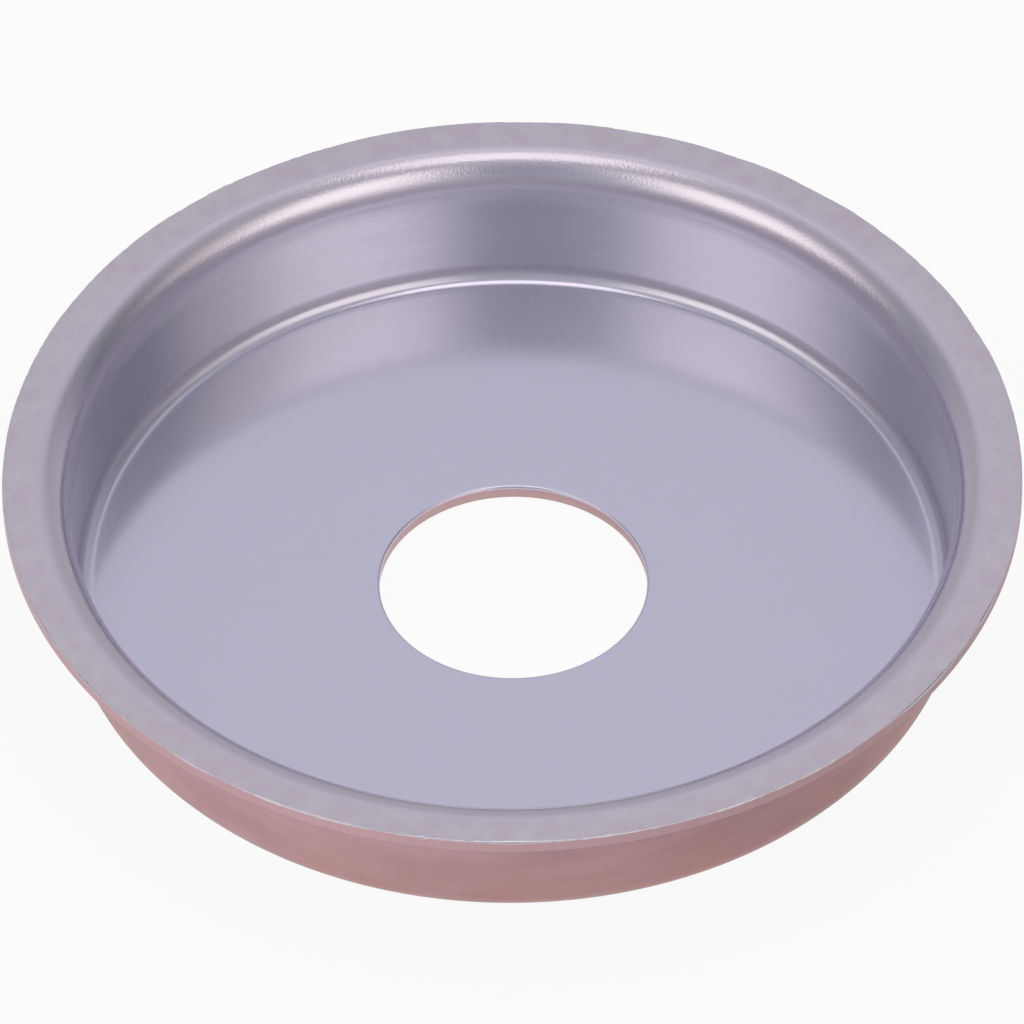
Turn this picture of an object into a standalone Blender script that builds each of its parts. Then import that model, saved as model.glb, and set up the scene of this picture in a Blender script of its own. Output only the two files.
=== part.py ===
"""Heat shield of a turbocharger: one pressing of stainless sheet.

A shallow dish is drawn from a flat blank. Its floor is then pierced for the shaft, and its flange is
trimmed round. The part stands on its floor with the open side up, with the origin in the middle of
the underside.
"""

import math

import bpy

# Driving dimensions, in metres
SHEET = 0.0011  # thickness of the sheet
BORE_DIAMETER = 0.020  # pierced hole in the floor
WALL_DIAMETER = 0.06495  # inside of the wall, where its line meets the floor
INSIDE_DEPTH = 0.0111  # from the flange's upper face down to the floor
PUNCH_RADIUS = 0.0011  # inside bend from the floor into the wall
DIE_RADIUS = 0.00155  # bend under the flange, from the wall into the flange
FLANGE_FLAT = 0.00243  # width of the flat clamping face outside the bend
WALL_DRAFT = math.radians(3.0)  # outward lean of the wall

# Edges left by the press tools, in metres
PIERCE_ROLL = 0.0002  # rounding where the piercing punch went in
PIERCE_BREAK = 0.00006  # widening of the hole where the sheet broke away
PIERCE_LAND = 0.00035  # smooth part of the hole's wall, below the rounding
TRIM_ROLL = 0.00025  # rounding under the flange's trimmed edge

# Fineness of the round surfaces
TURN_STEPS = 96
ROLL_STEPS = 3
PUNCH_STEPS = 5
DIE_STEPS = 9
SHARP_ANGLE = math.radians(35.0)

# Sheet finish
STEEL_COLOUR = (0.44, 0.43, 0.54, 1.0)
STEEL_ROUGHNESS = 0.3

NAME = "heat_shield"


def arc(centre, radius, start, end, steps):
    """Points of an arc in the (radius, height) plane, from one angle to another."""
    angles = [start + (end - start) * i / steps for i in range(steps + 1)]
    return [(centre[0] + radius * math.cos(a), centre[1] + radius * math.sin(a)) for a in angles]


def punch_bend_centre():
    """Centre of the bend between floor and wall, inside the dish."""
    lean = PUNCH_RADIUS * math.tan(WALL_DRAFT)
    radius = WALL_DIAMETER / 2 + lean - PUNCH_RADIUS / math.cos(WALL_DRAFT)
    return radius, SHEET + PUNCH_RADIUS


def die_bend_centre():
    """Centre of the bend between wall and flange, outside the dish and below the flange."""
    outer_radius = DIE_RADIUS + SHEET
    lean = (INSIDE_DEPTH - outer_radius) * math.tan(WALL_DRAFT)
    radius = WALL_DIAMETER / 2 + lean + outer_radius / math.cos(WALL_DRAFT)
    return radius, SHEET + INSIDE_DEPTH - outer_radius


def trimmed_edge():
    """The flange's edge, downwards: a sharp upper corner and a rolled lower one."""
    rim = die_bend_centre()[0] + FLANGE_FLAT
    top = SHEET + INSIDE_DEPTH
    roll_centre = (rim - TRIM_ROLL, top - SHEET + TRIM_ROLL)
    return [(rim, top)] + arc(roll_centre, TRIM_ROLL, 0.0, -math.pi / 2, ROLL_STEPS)


def pierced_edge():
    """The hole's edge, upwards: the break, the smooth land and the rolled upper corner."""
    hole = BORE_DIAMETER / 2
    roll_centre = (hole + PIERCE_ROLL, SHEET - PIERCE_ROLL)
    land_foot = SHEET - PIERCE_ROLL - PIERCE_LAND
    broken = [(hole + PIERCE_BREAK, 0.0), (hole, land_foot)]
    return broken + arc(roll_centre, PIERCE_ROLL, math.pi, math.pi / 2, ROLL_STEPS)


def outside_face():
    """The sheet's underside from the flange inwards to the floor: two bends, with the wall between them."""
    wall_side = math.pi - WALL_DRAFT
    under_flange = arc(die_bend_centre(), DIE_RADIUS, math.pi / 2, wall_side, DIE_STEPS)
    under_floor = arc(punch_bend_centre(), PUNCH_RADIUS + SHEET, -WALL_DRAFT, -math.pi / 2, PUNCH_STEPS)
    return under_flange + under_floor


def inside_face():
    """The sheet's upper side from the floor outwards to the flange, parallel to the outside face."""
    wall_side = math.pi - WALL_DRAFT
    floor_bend = arc(punch_bend_centre(), PUNCH_RADIUS, -math.pi / 2, -WALL_DRAFT, PUNCH_STEPS)
    flange_bend = arc(die_bend_centre(), DIE_RADIUS + SHEET, wall_side, math.pi / 2, DIE_STEPS)
    return floor_bend + flange_bend


def turned(name, profile, steps):
    """Turns a closed profile of (radius, height) points about the Z axis into one solid."""
    count = len(profile)
    outline = bpy.data.meshes.new(name + "_profile")
    outline.from_pydata(
        [(radius, 0.0, height) for radius, height in profile],
        [(i, (i + 1) % count) for i in range(count)],
        [],
    )
    spun = bpy.data.objects.new(name + "_profile", outline)
    bpy.context.scene.collection.objects.link(spun)
    screw = spun.modifiers.new("turn", "SCREW")
    screw.axis = "Z"
    screw.angle = 2 * math.pi
    screw.steps = steps
    screw.render_steps = steps
    screw.use_merge_vertices = False
    graph = bpy.context.evaluated_depsgraph_get()
    mesh = bpy.data.meshes.new_from_object(spun.evaluated_get(graph))
    bpy.data.objects.remove(spun)
    bpy.data.meshes.remove(outline)
    mesh.name = name
    mesh.shade_smooth()
    mesh.set_sharp_from_angle(angle=SHARP_ANGLE)
    return bpy.data.objects.new(name, mesh)


def steel():
    """Bright pressed sheet, as it comes off the draw tool."""
    material = bpy.data.materials.new("pressed_steel")
    material.use_nodes = True
    shader = material.node_tree.nodes["Principled BSDF"]
    shader.inputs["Base Color"].default_value = STEEL_COLOUR
    shader.inputs["Metallic"].default_value = 1.0
    shader.inputs["Roughness"].default_value = STEEL_ROUGHNESS
    return material


def main():
    for obj in list(bpy.data.objects):
        bpy.data.objects.remove(obj)
    parts = bpy.data.collections.new(NAME)
    bpy.context.scene.collection.children.link(parts)
    profile = trimmed_edge() + outside_face() + pierced_edge() + inside_face()
    shield = turned(NAME, profile, TURN_STEPS)
    shield.data.materials.append(steel())
    parts.objects.link(shield)


main()
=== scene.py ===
"""Looks of the pressed heat shield: its fine sheet, metal finishes, studio and camera."""

import math

import bpy
import numpy as np
from mathutils import Matrix, Vector


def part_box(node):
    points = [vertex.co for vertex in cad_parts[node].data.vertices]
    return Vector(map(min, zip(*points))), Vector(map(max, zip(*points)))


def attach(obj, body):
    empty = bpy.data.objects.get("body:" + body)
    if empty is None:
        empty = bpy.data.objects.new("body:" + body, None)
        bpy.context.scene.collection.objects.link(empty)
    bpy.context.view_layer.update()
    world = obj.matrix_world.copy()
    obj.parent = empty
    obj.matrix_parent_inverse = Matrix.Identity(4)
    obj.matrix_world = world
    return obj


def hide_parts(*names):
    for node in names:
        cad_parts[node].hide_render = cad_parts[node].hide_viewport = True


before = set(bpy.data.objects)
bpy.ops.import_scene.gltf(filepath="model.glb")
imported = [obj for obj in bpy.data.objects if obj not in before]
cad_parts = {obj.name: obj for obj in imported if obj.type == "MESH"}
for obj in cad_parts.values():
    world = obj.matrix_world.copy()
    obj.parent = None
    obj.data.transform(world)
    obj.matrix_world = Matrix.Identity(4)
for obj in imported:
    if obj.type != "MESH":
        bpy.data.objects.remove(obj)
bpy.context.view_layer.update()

NODE = "heat_shield"
PIECE = "shield_sheet"
MM = 0.001

# Sizes of the pressing, from the frame where its box gives them
LOW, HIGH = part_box(NODE)
RIM = (HIGH.x - LOW.x) / 2
TOP = HIGH.z
SHEET = 1.1 * MM
HOLE = 10.0 * MM
WALL = 32.475 * MM
WALL_DRAFT = math.radians(3.0)
PUNCH_RADIUS = 1.1 * MM
DIE_RADIUS = 1.55 * MM
PIERCE_ROLL = 0.2 * MM
PIERCE_BREAK = 0.06 * MM
PIERCE_LAND = 0.35 * MM
TRIM_ROLL = 0.25 * MM

# Fineness of the mesh
TURNS = 900
FLOOR_STEP = 4.0 * MM
UNDERSIDE_STEP = 6.0 * MM
WALL_STEP = 0.9 * MM
FLANGE_STEP = 0.5 * MM
EDGE_STEP = 0.3 * MM
SUPPORTS = (0.15 * MM, 0.5 * MM)
ROLL_STEPS = 5
PUNCH_STEPS = 10
DIE_STEPS = 20
UNDER_PUNCH_STEPS = 7
UNDER_DIE_STEPS = 8
SHARP_ANGLE = math.radians(38.0)

# Unevenness that the press leaves in the sheet, with the fewest and most waves round the axis
SEED = 11
WALL_RIPPLE = 0.02 * MM
WALL_WAVES = (2, 16)
FLOOR_RIPPLE = 0.012 * MM
FLOOR_WAVES = (2, 7)
FLANGE_RIPPLE = 0.02 * MM
FLANGE_WAVES = (2, 9)
RIPPLE_REACH = 3.0 * MM

# The trimmed edge's upper corner, rounded by handling to an uneven width
LIP_WIDTH = 0.09 * MM
LIP_LEAST = 0.03 * MM
LIP_MOST = 0.22 * MM
LIP_SWELL = 0.7
LIP_SWELL_WAVES = (3, 40)
LIP_NICK = 0.3
LIP_NICK_WAVES = (60, 300)
LIP_FALL = 0.8
LIP_STEPS = 4
LIP_SUPPORT = 0.04 * MM
EDGE_TOP = 0.3 * MM

# Material slots on the sheet
INSIDE, OUTSIDE, CUT = 0, 1, 2
SLOT_OF_ZONE = {
    "edge": CUT,
    "outside": OUTSIDE,
    "hole": CUT,
    "floor": INSIDE,
    "wall": INSIDE,
    "bend": INSIDE,
    "flange": INSIDE,
    "lip": INSIDE,
}

# How each zone of the upper face takes over from the one before it: lead and width along the section
BLENDS = {
    "wall": (0.0, 0.3 * MM),
    "bend": (0.0, 0.6 * MM),
    "flange": (1.2 * MM, 1.5 * MM),
    "lip": (0.0, 0.03 * MM),
}

# Bands where the bend, the wall and the flange start: their reach along the section, and their fade. The foot
# and grainy bands carry painted shade as well as roughness.
SHOULDER_ABOVE = 0.9 * MM
SHOULDER_FADE = 1.0 * MM
FOOT_BELOW = 0.4 * MM
FOOT_FADE = 0.36 * MM
GRAINY_BELOW = 1.5 * MM
GRAINY_FADE = 1.2 * MM

# Colours of the bare metal, with painted shade and painted reflection where marked
FLOOR_COLOUR = (0.65, 0.625, 0.74, 1)
WALL_COLOUR = (0.720, 0.720, 0.800, 1)
WALL_DULL = (0.660, 0.655, 0.735, 1)
# Painted shade: a darker colour in the inside corner at the wall's foot
FOOT_SHADE_COLOUR = (0.58, 0.565, 0.65, 1)
BEND_COLOUR = (0.66, 0.625, 0.735, 1)
# Painted shade: a darker colour on the bend's upper part beside the flange, standing in for a dark reflection
# there
GRAINY_SHADE_COLOUR = (0.605, 0.560, 0.640, 1)
FLANGE_COLOUR = (0.600, 0.528, 0.605, 1)
FLANGE_GREY = (0.645, 0.610, 0.660, 1)
LIP_COLOUR = (0.68, 0.66, 0.70, 1)
# Painted reflection: the outside's pink stands for a red surface mirrored below, lit at one end and shaded at
# the other
OUTSIDE_LIT_REFLECTION = (0.57, 0.350, 0.375, 1)
OUTSIDE_SHADED_REFLECTION = (0.295, 0.170, 0.174, 1)
# Painted shade and reflection: the outside darker and redder low down
OUTSIDE_FOOT_SHADE = (0.46, 0.240, 0.220, 1)
# Painted reflection: the cut edges' pink stands for a red surface mirrored below, lit at one end and shaded
# at the other
CUT_LIT_REFLECTION = (0.60, 0.390, 0.420, 1)
CUT_SHADED_REFLECTION = (0.40, 0.262, 0.276, 1)
# Painted reflection: the hole's cut edge redder at its foot, from the red surface below
HOLE_FOOT_REFLECTION = (0.52, 0.360, 0.355, 1)
# Painted side light on the outside and the cut edges: X from the shaded end (+X) to the lit end (−X)
SIDE_LIGHT_REACH = (24 * MM, -15 * MM)
# Heights over which the outside's painted shade grows towards the bottom
OUTSIDE_SHADE_REACH = (7 * MM, -1 * MM)
# Heights over which the hole's redder painted reflection grows towards the foot
HOLE_REFLECTION_REACH = (0.7 * MM, 0.2 * MM)

# Roughness of the bare metal
FLOOR_ROUGH = 0.14
WALL_ROUGH = 0.20
WALL_STREAK = 0.8
FOOT_ROUGH = 0.22
BEND_ROUGH = 0.19
SHOULDER_ROUGH = 0.20
FLANGE_ROUGH = 0.44
LIP_ROUGH = 0.3
SPECK_ROUGH = 0.5
OUTSIDE_ROUGH = 0.42
CUT_ROUGH = 0.45
CLOUD_ROUGH = 0.02

# Heights of the fine marks
PEEL_DEPTH = 0.006 * MM
WIPE_DEPTH = 0.0018 * MM
FLANGE_DEPTH = 0.004 * MM
DRAW_DEPTH = 0.003 * MM
SHEAR_DEPTH = 0.01 * MM

# Sizes of the fine marks, with how much finer detail and contrast they have
CLOUD_SIZE = 7 * MM
SPECK_SIZE = 0.012 * MM
MOTTLE_SIZE = 1.8 * MM
PEEL_SIZE = 0.2 * MM
TOOTH_SIZE = 0.22 * MM
BLOTCH_SIZE = 5 * MM
WIPE_SIZE = (14 * MM, 14 * MM, 0.4 * MM)
SMEAR_SIZE = (11 * MM, 11 * MM, 1.6 * MM)
DRAW_SIZE = (0.35 * MM, 0.35 * MM, 14 * MM)
SHEAR_SIZE = (0.25 * MM, 0.25 * MM, 2 * MM)
GRAIN_DETAIL = 3.0
SPECK_DETAIL = 0.0
MOTTLE_DETAIL = 6.0
PEEL_DETAIL = 1.5
GRAIN_FALL = 0.55
GRAIN_CONTRAST = (0.3, 0.7)
SPECK_CONTRAST = (0.53, 0.55)
WIPE_CONTRAST = (0.2, 0.8)
SMEAR_SHARE = 0.3
STREAK_SHARE = 0.15

# The photograph's view: the flange's middle and radius in its pixels
IMAGE_SIDE = 1024
RIM_PIXELS = 510.24
FLANGE_MIDDLE_PIXEL = (512.2, 476.7)
VIEW_HEIGHT = math.radians(45.08)
VIEW_ROLL = math.radians(0.615)
VIEW_DISTANCE = 50 * RIM
SENSOR = 36.0

# Colours of the studio's light
WHITE = (1, 1, 1, 1)
COOL = (0.88, 0.90, 1.0)
WARM = (1.0, 0.94, 0.86)
LAMP_TINT = (1.0, 0.96, 0.88)

# The room all round: degrees from the camera's side towards the right, brightness and tint
ROOM = (
    (-180, 0.56, COOL),
    (-112, 0.36, COOL),
    (-66, 1.46, WARM),
    (-48, 1.46, WARM),
    (-19, 0.50, COOL),
    (5, 0.40, COOL),
    (30, 1.46, WARM),
    (48, 1.46, WARM),
    (80, 0.72, WARM),
    (108, 0.24, COOL),
    (142, 0.26, COOL),
    (180, 0.56, COOL),
)

# Parts of the room that differ from it, bounded by how far a direction points up and to the back
LOW_BACK = (0.60, 0.575, 0.61, 1)
BACK_HEIGHT = (0.69, 0.54)
BACK_TURN = (0.35, 0.65)
LOW_FRONT = (0.26, 0.245, 0.28, 1)
FRONT_HEIGHT = (0.55, 0.28)
FRONT_RISE = -0.25
FRONT_TURN = (0.35, 0.0)
CEILING = (0.47, 0.47, 0.52, 1)
CEILING_REACH = (0.75, 0.87)
CEILING_RISE = 0.12

# Soft lamps: azimuth and height in degrees, distance, width and length in metres, brightness and colour
LAMPS = {
    "overhead": (180, 87, 0.8, 0.32, 0.36, 1.45, LAMP_TINT),
    "overhead_back": (180, 66, 0.8, 0.28, 0.27, 0.35, LAMP_TINT),
    "back": (180, 52, 0.9, 0.75, 0.46, 0.28, COOL),
}

# The studio floor, with the share of plain white that the camera and mirrors see in it
FLOOR_SIDE = 3.0
FLOOR_DROP = 0.05 * MM
FLOOR_PAINT = (0.9, 0.9, 0.9, 1)
FLOOR_WHITE = 0.92


def line(start, end, step):
    """Points of a straight stretch, both ends included."""
    count = max(1, round(math.dist(start, end) / step))
    return [
        (start[0] + (end[0] - start[0]) * i / count, start[1] + (end[1] - start[1]) * i / count)
        for i in range(count + 1)
    ]


def stretch(start, end, step):
    """Inner points of a straight stretch between bends, closer near its ends to keep its normals straight."""
    length = math.dist(start, end)
    outer, inner = (support / length for support in SUPPORTS)
    shares = [outer, *np.linspace(inner, 1 - inner, round(length / step) + 1), 1 - outer]
    return [tuple(a + (b - a) * share for a, b in zip(start, end)) for share in shares]


def arc(centre, radius, start, end, steps):
    """Points of an arc in the (radius, height) plane, from one angle to another."""
    angles = [start + (end - start) * i / steps for i in range(steps + 1)]
    return [(centre[0] + radius * math.cos(a), centre[1] + radius * math.sin(a)) for a in angles]


def section():
    """The sheet's section in zones of (radius, height) points: down the outside, then up the inside."""
    quarter = math.pi / 2
    lean = math.tan(WALL_DRAFT)
    slant = 1 / math.cos(WALL_DRAFT)
    bend = DIE_RADIUS + SHEET
    punch = (WALL + PUNCH_RADIUS * (lean - slant), SHEET + PUNCH_RADIUS)
    die = (WALL + (TOP - SHEET - bend) * lean + bend * slant, TOP - bend)
    wall_side = math.pi - WALL_DRAFT
    under = TOP - SHEET

    lip = arc((RIM - LIP_WIDTH, TOP - LIP_WIDTH), LIP_WIDTH, quarter, 0, LIP_STEPS)
    edge = lip[-1:] + line((RIM, TOP - EDGE_TOP), (RIM, under + TRIM_ROLL), EDGE_STEP)[:-1]
    edge += arc((RIM - TRIM_ROLL, under + TRIM_ROLL), TRIM_ROLL, 0, -quarter, ROLL_STEPS)
    die_outside = arc(die, DIE_RADIUS, quarter, wall_side, UNDER_DIE_STEPS)
    punch_outside = arc(punch, PUNCH_RADIUS + SHEET, -WALL_DRAFT, -quarter, UNDER_PUNCH_STEPS)
    land_foot = (HOLE, SHEET - PIERCE_ROLL - PIERCE_LAND)
    roll = arc((HOLE + PIERCE_ROLL, SHEET - PIERCE_ROLL), PIERCE_ROLL, math.pi, quarter, ROLL_STEPS)
    hole = [(HOLE + PIERCE_BREAK, 0.0), land_foot, roll[0]]
    punch_inside = arc(punch, PUNCH_RADIUS, -quarter, -WALL_DRAFT, PUNCH_STEPS)
    die_inside = arc(die, bend, wall_side, quarter, DIE_STEPS)

    outside = die_outside + line(die_outside[-1], punch_outside[0], WALL_STEP)[1:-1] + punch_outside
    outside += line(punch_outside[-1], hole[0], UNDERSIDE_STEP)[1:-1]
    support = (RIM - LIP_WIDTH - LIP_SUPPORT, TOP)
    return {
        "edge": edge,
        "outside": outside,
        "hole": hole,
        "floor": roll[1:] + stretch(roll[-1], punch_inside[0], FLOOR_STEP) + punch_inside[:-1],
        "wall": punch_inside[-1:] + stretch(punch_inside[-1], die_inside[0], WALL_STEP),
        "bend": die_inside,
        "flange": line(die_inside[-1], support, FLANGE_STEP)[1:],
        "lip": lip[:-1],
    }


def wave(angles, random, lowest, highest):
    """A smooth random wave round the axis, about 1 high, made of whole waves."""
    orders = np.arange(lowest, highest + 1)
    sizes = random.normal(size=len(orders)) * math.sqrt(2 / len(orders))
    phases = random.uniform(0, 2 * math.pi, len(orders))
    return (sizes[:, None] * np.cos(orders[:, None] * angles + phases[:, None])).sum(axis=0)


def ease(value):
    """A smooth step from 0 to 1."""
    value = np.clip(value, 0, 1)
    return value * value * (3 - 2 * value)


def near(zone, target, places, reach):
    """1 on a zone's own points, falling smoothly to 0 at a given reach along the section."""
    own = places[[name == target for name in zone]]
    return ease(1 - np.maximum(np.maximum(own.min() - places, places - own.max()), 0) / reach)


def past(zone, target, places):
    """0 well before a zone along the section and 1 past its blend, which may lead the zone."""
    lead, width = BLENDS[target]
    return ease((places - places[zone.index(target)] + lead) / width)


def band(zone, target, places, below, above, fade):
    """1 from a reach below a zone's start to a reach above it, fading smoothly to 0 on both sides."""
    away = places - places[zone.index(target)]
    return ease(1 + np.minimum(below + away, above - away) / fade)


def slot_of_face(zone, i):
    """The slot of the strip after a point. Cut faces end at their own last point."""
    here, there = zone[i], zone[(i + 1) % len(zone)]
    if SLOT_OF_ZONE[here] == CUT:
        return SLOT_OF_ZONE[there]
    return SLOT_OF_ZONE[here]


def uneven(radius, height, zone, places, angles):
    """Moves the rings' points by the press's unevenness, and rounds the trimmed edge's upper corner."""
    random = np.random.RandomState(SEED)
    wall = near(zone, "wall", places, RIPPLE_REACH)
    floor = ease((places - places[zone.index("floor")]) / RIPPLE_REACH) * (1 - past(zone, "wall", places))
    flange = near(zone, "flange", places, RIPPLE_REACH)
    radius += WALL_RIPPLE * wall * wave(angles, random, *WALL_WAVES)[:, None]
    height += FLOOR_RIPPLE * floor * wave(angles, random, *FLOOR_WAVES)[:, None]
    dip = wave(angles, random, *FLANGE_WAVES)
    height -= FLANGE_RIPPLE * flange * (dip.max() - dip)[:, None]

    swell = LIP_SWELL * wave(angles, random, *LIP_SWELL_WAVES)
    nicks = LIP_NICK * wave(angles, random, *LIP_NICK_WAVES)
    lip = np.clip(LIP_WIDTH * (1 + swell + nicks), LIP_LEAST, LIP_MOST)
    first = zone.index("lip")
    brim = height[:, first].copy()
    radius[:, first - 1] = RIM - lip - LIP_SUPPORT
    for step, column in enumerate([*range(first, first + LIP_STEPS), zone.index("edge")]):
        turn = math.pi / 2 * step / LIP_STEPS
        radius[:, column] = RIM - lip * (1 - math.sin(turn))
        height[:, column] = brim - LIP_FALL * lip * (1 - math.cos(turn))


def fine_sheet():
    """The pressing as one fine closed mesh, ring by ring."""
    zones = section()
    points = np.array([point for run in zones.values() for point in run])
    zone = [name for name, run in zones.items() for _ in run]
    places = np.concatenate([[0], np.cumsum(np.hypot(*np.diff(points, axis=0).T))])
    angles = np.arange(TURNS) * 2 * math.pi / TURNS
    count = len(points)

    radius = np.repeat(points[None, :, 0], TURNS, axis=0)
    height = np.repeat(points[None, :, 1], TURNS, axis=0)
    uneven(radius, height, zone, places, angles)
    verts = np.stack([radius * np.cos(angles)[:, None], radius * np.sin(angles)[:, None], height], axis=2)

    ring = np.arange(TURNS)[:, None] * count
    next_ring = np.roll(ring, -1, axis=0)
    here = np.arange(count)[None, :]
    there = np.roll(here, -1, axis=1)
    faces = np.stack([ring + here, ring + there, next_ring + there, next_ring + here], axis=2)

    mesh = bpy.data.meshes.new(PIECE)
    mesh.from_pydata(verts.reshape(-1, 3).tolist(), [], faces.reshape(-1, 4).tolist())
    masks = {"past_" + name: past(zone, name, places) for name in BLENDS}
    masks["shoulder"] = band(zone, "bend", places, 0.0, SHOULDER_ABOVE, SHOULDER_FADE)
    # The foot band carries painted shade and roughness in the inside corner
    masks["foot"] = band(zone, "wall", places, FOOT_BELOW, 0.0, FOOT_FADE)
    # The grainy band carries painted shade and speckled roughness on the bend beside the flange
    masks["grainy"] = band(zone, "flange", places, GRAINY_BELOW, 0.0, GRAINY_FADE)
    for name, values in masks.items():
        layer = mesh.attributes.new(name, "FLOAT", "POINT")
        layer.data.foreach_set("value", np.tile(values, TURNS).astype(np.float32))
    slots = [slot_of_face(zone, i) for i in range(count)]
    mesh.polygons.foreach_set("material_index", np.tile(slots, TURNS).astype(np.int32))
    mesh.shade_smooth()
    mesh.set_sharp_from_angle(angle=SHARP_ANGLE)
    shield = bpy.data.objects.new(PIECE, mesh)
    bpy.context.scene.collection.objects.link(shield)
    return shield


def put(tree, kind, **values):
    """Adds a node, with its settings and unlinked inputs given by name."""
    node = tree.nodes.new(kind)
    for key, value in values.items():
        if hasattr(node, key):
            setattr(node, key, value)
        else:
            node.inputs[key.replace("_", " ")].default_value = value
    return node


def feed(tree, value, socket):
    """Links a socket, or sets a constant."""
    if isinstance(value, bpy.types.NodeSocket):
        tree.links.new(value, socket)
    else:
        socket.default_value = value


def mix(tree, factor, low, high, kind="RGBA"):
    """A blend of two colours, or of two numbers where kind is FLOAT."""
    node = put(tree, "ShaderNodeMix", data_type=kind)
    first = {"FLOAT": 2, "RGBA": 6}[kind]
    for value, index in ((factor, 0), (low, first), (high, first + 1)):
        feed(tree, value, node.inputs[index])
    return node.outputs[{"FLOAT": 0, "RGBA": 2}[kind]]


def math_node(tree, operation, a, b):
    """The result of an operation on two values or sockets."""
    node = put(tree, "ShaderNodeMath", operation=operation)
    feed(tree, a, node.inputs[0])
    feed(tree, b, node.inputs[1])
    return node.outputs[0]


def times(tree, a, b):
    """The product of two values or sockets."""
    return math_node(tree, "MULTIPLY", a, b)


def plus(tree, a, b):
    """The sum of two values or sockets."""
    return math_node(tree, "ADD", a, b)


def attribute(tree, name):
    """One of the sheet's masks."""
    return put(tree, "ShaderNodeAttribute", attribute_name=name).outputs["Fac"]


def spread(tree, value, low, high):
    """A value's run from low to high, as 0 to 1."""
    node = put(tree, "ShaderNodeMapRange", From_Min=low, From_Max=high)
    tree.links.new(value, node.inputs["Value"])
    return node.outputs[0]


def along(tree, axis, reach):
    """A place's share of a reach along one of the part's axes, from 0 to 1."""
    split = put(tree, "ShaderNodeSeparateXYZ")
    tree.links.new(put(tree, "ShaderNodeTexCoord").outputs["Object"], split.inputs[0])
    return spread(tree, split.outputs[axis], *reach)


def grain(tree, size, detail=GRAIN_DETAIL, contrast=GRAIN_CONTRAST):
    """Noise from 0 to 1 with features of a size along X, Y and Z in metres."""
    place = put(tree, "ShaderNodeTexCoord").outputs["Object"]
    mapping = put(tree, "ShaderNodeMapping", vector_type="TEXTURE", Scale=size)
    tree.links.new(place, mapping.inputs["Vector"])
    noise = put(tree, "ShaderNodeTexNoise", Scale=1.0, Detail=detail, Roughness=GRAIN_FALL)
    tree.links.new(mapping.outputs[0], noise.inputs["Vector"])
    return spread(tree, noise.outputs["Fac"], *contrast)


def even(size):
    """One size along all three axes."""
    return (size, size, size)


def metal(name):
    """A bare metal material, with its tree and shader."""
    material = bpy.data.materials.new(name)
    material.use_nodes = True
    tree = material.node_tree
    shader = tree.nodes["Principled BSDF"]
    shader.inputs["Metallic"].default_value = 1.0
    return material, tree, shader


def relief(tree, shader, height):
    """Bump from a height in metres."""
    bump = put(tree, "ShaderNodeBump", Strength=1.0, Distance=1.0)
    tree.links.new(height, bump.inputs["Height"])
    tree.links.new(bump.outputs[0], shader.inputs["Normal"])


def inside_metal():
    """The sheet's upper face: bright floor, wiped wall, grainy bend and dull flange, with painted shade in
    the inside corner at the wall's foot and on the bend beside the flange.
    """
    material, tree, shader = metal("drawn_inside")
    wall, bend, flange, lip = (attribute(tree, "past_" + name) for name in BLENDS)
    clouds = grain(tree, even(CLOUD_SIZE))
    specks = grain(tree, even(SPECK_SIZE), detail=SPECK_DETAIL, contrast=SPECK_CONTRAST)
    mottle = grain(tree, even(MOTTLE_SIZE), detail=MOTTLE_DETAIL)
    wipes = grain(tree, WIPE_SIZE, contrast=WIPE_CONTRAST)
    dull = mix(tree, mottle, FLANGE_COLOUR, FLANGE_GREY)

    foot = attribute(tree, "foot")
    grainy = attribute(tree, "grainy")
    colour = mix(tree, wall, FLOOR_COLOUR, mix(tree, wipes, WALL_DULL, WALL_COLOUR))
    colour = mix(tree, bend, colour, BEND_COLOUR)
    # Painted shade on the bend beside the flange
    colour = mix(tree, grainy, colour, GRAINY_SHADE_COLOUR)
    # Painted shade in the inside corner at the wall's foot
    colour = mix(tree, foot, colour, FOOT_SHADE_COLOUR)
    colour = mix(tree, flange, colour, dull)
    tree.links.new(mix(tree, lip, colour, LIP_COLOUR), shader.inputs["Base Color"])

    rough = mix(tree, specks, FLOOR_ROUGH, SPECK_ROUGH, "FLOAT")
    rough = mix(tree, wall, rough, WALL_ROUGH, "FLOAT")
    rough = mix(tree, bend, rough, BEND_ROUGH, "FLOAT")
    rough = plus(tree, rough, times(tree, attribute(tree, "shoulder"), SHOULDER_ROUGH))
    rough = plus(tree, rough, times(tree, foot, FOOT_ROUGH))
    rough = mix(tree, times(tree, specks, grainy), rough, SPECK_ROUGH, "FLOAT")
    rough = mix(tree, flange, rough, FLANGE_ROUGH, "FLOAT")
    rough = mix(tree, lip, rough, LIP_ROUGH, "FLOAT")
    tree.links.new(plus(tree, rough, times(tree, clouds, CLOUD_ROUGH)), shader.inputs["Roughness"])

    wall_only = math_node(tree, "SUBTRACT", wall, bend)
    tree.links.new(times(tree, wall_only, WALL_STREAK), shader.inputs["Anisotropic"])
    round_axis = put(tree, "ShaderNodeTangent", direction_type="RADIAL", axis="Z")
    tree.links.new(round_axis.outputs[0], shader.inputs["Tangent"])
    bend_only = math_node(tree, "SUBTRACT", bend, flange)
    peel = grain(tree, even(PEEL_SIZE), detail=PEEL_DETAIL)
    tooth = grain(tree, even(TOOTH_SIZE))
    height = times(tree, times(tree, wipes, wall_only), WIPE_DEPTH)
    height = plus(tree, height, times(tree, times(tree, peel, bend_only), PEEL_DEPTH))
    height = plus(tree, height, times(tree, times(tree, tooth, flange), FLANGE_DEPTH))
    relief(tree, shader, height)
    return material


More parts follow.
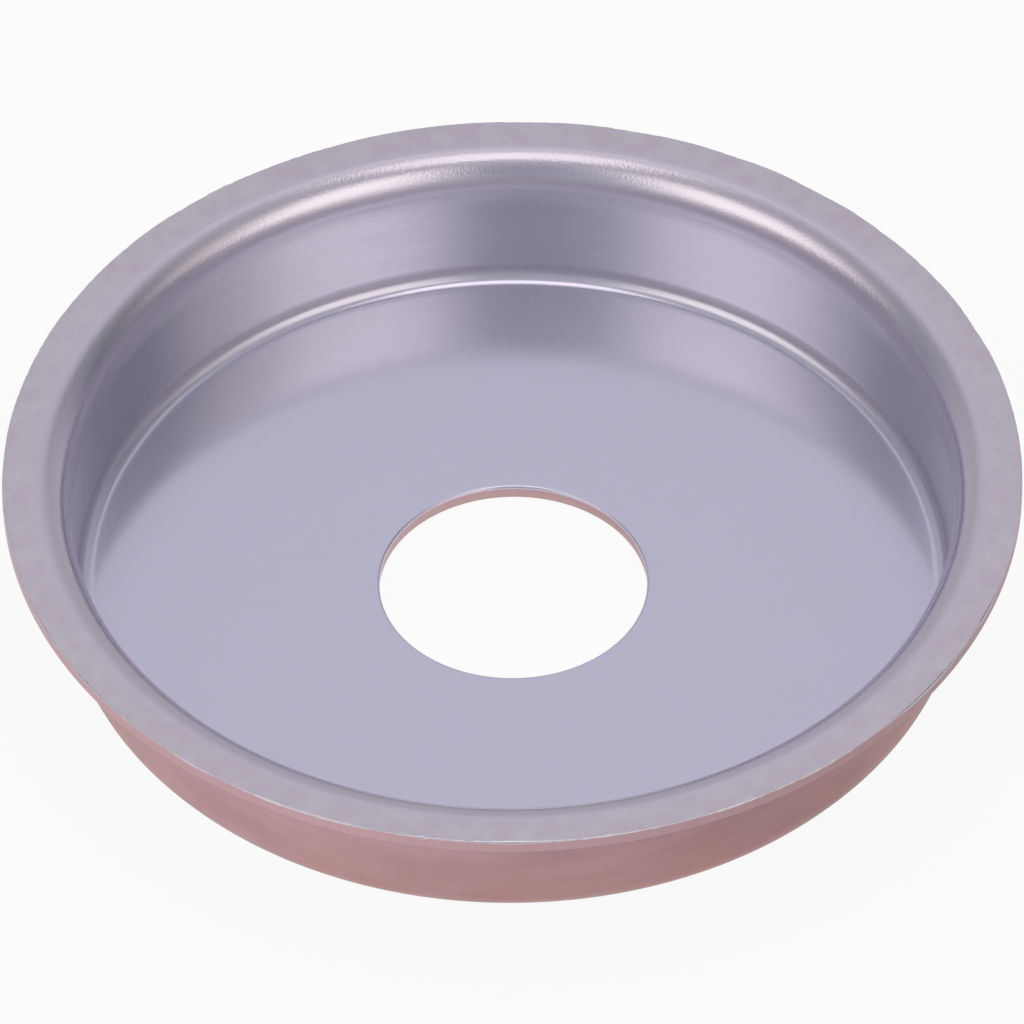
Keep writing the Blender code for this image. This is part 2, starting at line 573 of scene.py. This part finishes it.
def outside_metal():
    """The sheet's lower face: a painted pink reflection of a red surface below, with painted light brighter
    towards −X mixed with random smears, painted shade darker and redder low down, and draw lines.
    """
    material, tree, shader = metal("drawn_outside")
    smears = grain(tree, SMEAR_SIZE)
    draws = grain(tree, DRAW_SIZE)
    # Painted light: lighter towards −X, with random smears
    side_light_and_marks = mix(tree, SMEAR_SHARE, along(tree, "X", SIDE_LIGHT_REACH), smears, "FLOAT")
    colour = mix(tree, side_light_and_marks, OUTSIDE_SHADED_REFLECTION, OUTSIDE_LIT_REFLECTION)
    # Painted shade: darker and redder low down, broken by blotches
    foot = times(tree, along(tree, "Z", OUTSIDE_SHADE_REACH), grain(tree, even(BLOTCH_SIZE)))
    tree.links.new(mix(tree, foot, colour, OUTSIDE_FOOT_SHADE), shader.inputs["Base Color"])
    shader.inputs["Roughness"].default_value = OUTSIDE_ROUGH
    relief(tree, shader, times(tree, draws, DRAW_DEPTH))
    return material


def cut_metal():
    """The sheared edges of the flange and of the hole, in a painted pink reflection of a red surface below,
    brighter towards −X with random streaks, and a redder painted reflection at the hole's foot.
    """
    material, tree, shader = metal("sheared_edge")
    streaks = grain(tree, SHEAR_SIZE)
    # Painted light: lighter towards −X, with random streaks
    side_light_and_marks = mix(tree, STREAK_SHARE, along(tree, "X", SIDE_LIGHT_REACH), streaks, "FLOAT")
    colour = mix(tree, side_light_and_marks, CUT_SHADED_REFLECTION, CUT_LIT_REFLECTION)
    # Painted reflection: redder at the hole's foot
    foot = along(tree, "Z", HOLE_REFLECTION_REACH)
    tree.links.new(mix(tree, foot, colour, HOLE_FOOT_REFLECTION), shader.inputs["Base Color"])
    shader.inputs["Roughness"].default_value = CUT_ROUGH
    relief(tree, shader, times(tree, streaks, SHEAR_DEPTH))
    return material


def room_light(tree, x, y):
    """The room's brightness, which changes smoothly with the azimuth from the camera's side to the right."""
    azimuth = math_node(tree, "ARCTAN2", x, times(tree, y, -1.0))
    ramp = put(tree, "ShaderNodeValToRGB")
    ramp.color_ramp.interpolation = "EASE"
    elements = ramp.color_ramp.elements
    while len(elements) < len(ROOM):
        elements.new(1.0)
    for element, (degrees, level, tint) in zip(elements, ROOM):
        element.position = degrees / 360 + 0.5
        element.color = [level * part for part in tint] + [1]
    tree.links.new(spread(tree, azimuth, -math.pi, math.pi), ramp.inputs["Fac"])
    return ramp.outputs["Color"]


def make_world():
    """A soft room with two bright sides, dim low down at the front, pale at the back, and an even ceiling."""
    world = bpy.data.worlds.new("studio")
    world.use_nodes = True
    tree = world.node_tree
    background = tree.nodes["Background"]
    split = put(tree, "ShaderNodeSeparateXYZ")
    tree.links.new(put(tree, "ShaderNodeTexCoord").outputs["Generated"], split.inputs[0])
    x, y, z = split.outputs
    back = times(tree, spread(tree, z, *BACK_HEIGHT), spread(tree, y, *BACK_TURN))
    front_edge = plus(tree, z, times(tree, y, FRONT_RISE))
    front = times(tree, spread(tree, front_edge, *FRONT_HEIGHT), spread(tree, y, *FRONT_TURN))
    ceiling_edge = plus(tree, z, times(tree, y, CEILING_RISE))
    light = mix(tree, back, room_light(tree, x, y), LOW_BACK)
    light = mix(tree, front, light, LOW_FRONT)
    light = mix(tree, spread(tree, ceiling_edge, *CEILING_REACH), light, CEILING)
    rays = put(tree, "ShaderNodeLightPath")
    tree.links.new(mix(tree, rays.outputs["Is Camera Ray"], light, WHITE), background.inputs["Color"])
    bpy.context.scene.world = world


def softbox(name, azimuth, height, distance, width, tall, brightness, colour):
    """A soft rectangular lamp aimed at the part. Azimuth runs from the camera's side towards the right."""
    turn, rise = math.radians(azimuth), math.radians(height)
    away = Vector((math.sin(turn) * math.cos(rise), -math.cos(turn) * math.cos(rise), math.sin(rise)))
    lamp = bpy.data.lights.new(name, "AREA")
    lamp.shape = "RECTANGLE"
    lamp.size = width
    lamp.size_y = tall
    lamp.energy = brightness * math.pi * width * tall
    lamp.color = colour
    obj = bpy.data.objects.new(name, lamp)
    obj.matrix_world = Matrix.Translation(away * distance) @ away.to_track_quat("Z", "Y").to_matrix().to_4x4()
    bpy.context.scene.collection.objects.link(obj)


def make_lights():
    """The soft lamps above the part and behind it."""
    for name, values in LAMPS.items():
        softbox(name, *values)


def make_floor():
    """A pale floor that the camera sees as nearly white, with the part's shadow on it."""
    mesh = bpy.data.meshes.new("studio_floor")
    half = FLOOR_SIDE / 2
    corners = [(-half, -half, 0), (half, -half, 0), (half, half, 0), (-half, half, 0)]
    mesh.from_pydata(corners, [], [(0, 1, 2, 3)])
    floor = bpy.data.objects.new("studio_floor", mesh)
    floor.location.z = LOW.z - FLOOR_DROP
    bpy.context.scene.collection.objects.link(floor)
    material = bpy.data.materials.new("pale_floor")
    material.use_nodes = True
    tree = material.node_tree
    tree.nodes.remove(tree.nodes["Principled BSDF"])
    paint = put(tree, "ShaderNodeBsdfDiffuse", Color=FLOOR_PAINT)
    glow = put(tree, "ShaderNodeEmission", Color=WHITE, Strength=1.0)
    rays = put(tree, "ShaderNodeLightPath")
    seen = plus(tree, rays.outputs["Is Camera Ray"], rays.outputs["Is Glossy Ray"])
    seen = times(tree, plus(tree, seen, rays.outputs["Is Transmission Ray"]), FLOOR_WHITE)
    blend = put(tree, "ShaderNodeMixShader")
    tree.links.new(seen, blend.inputs[0])
    tree.links.new(paint.outputs[0], blend.inputs[1])
    tree.links.new(glow.outputs[0], blend.inputs[2])
    tree.links.new(blend.outputs[0], tree.nodes["Material Output"].inputs["Surface"])
    mesh.materials.append(material)


def make_camera():
    """A long lens at the photograph's angle, with the flange's middle on its pixel."""
    scene = bpy.context.scene
    lens = bpy.data.cameras.new("camera")
    lens.sensor_width = SENSOR
    lens.lens = RIM_PIXELS * VIEW_DISTANCE / RIM / IMAGE_SIDE * SENSOR
    camera = bpy.data.objects.new("camera", lens)
    scene.collection.objects.link(camera)
    scene.camera = camera
    back = Vector((0, -math.cos(VIEW_HEIGHT), math.sin(VIEW_HEIGHT)))
    turn = back.to_track_quat("Z", "Y").to_matrix().to_4x4() @ Matrix.Rotation(-VIEW_ROLL, 4, "Z")
    right, up = turn.col[0].to_3d(), turn.col[1].to_3d()
    pixel = RIM / RIM_PIXELS
    aside = FLANGE_MIDDLE_PIXEL[0] - IMAGE_SIDE / 2
    below = FLANGE_MIDDLE_PIXEL[1] - IMAGE_SIDE / 2
    aim = Vector((0, 0, TOP)) - right * aside * pixel + up * below * pixel
    camera.matrix_world = Matrix.Translation(aim + back * VIEW_DISTANCE) @ turn


shield = fine_sheet()
for material in (inside_metal(), outside_metal(), cut_metal()):
    shield.data.materials.append(material)
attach(shield, "root")
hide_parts(NODE)
make_world()
make_lights()
make_floor()
make_camera()
bpy.context.scene.view_settings.view_transform = "Standard"
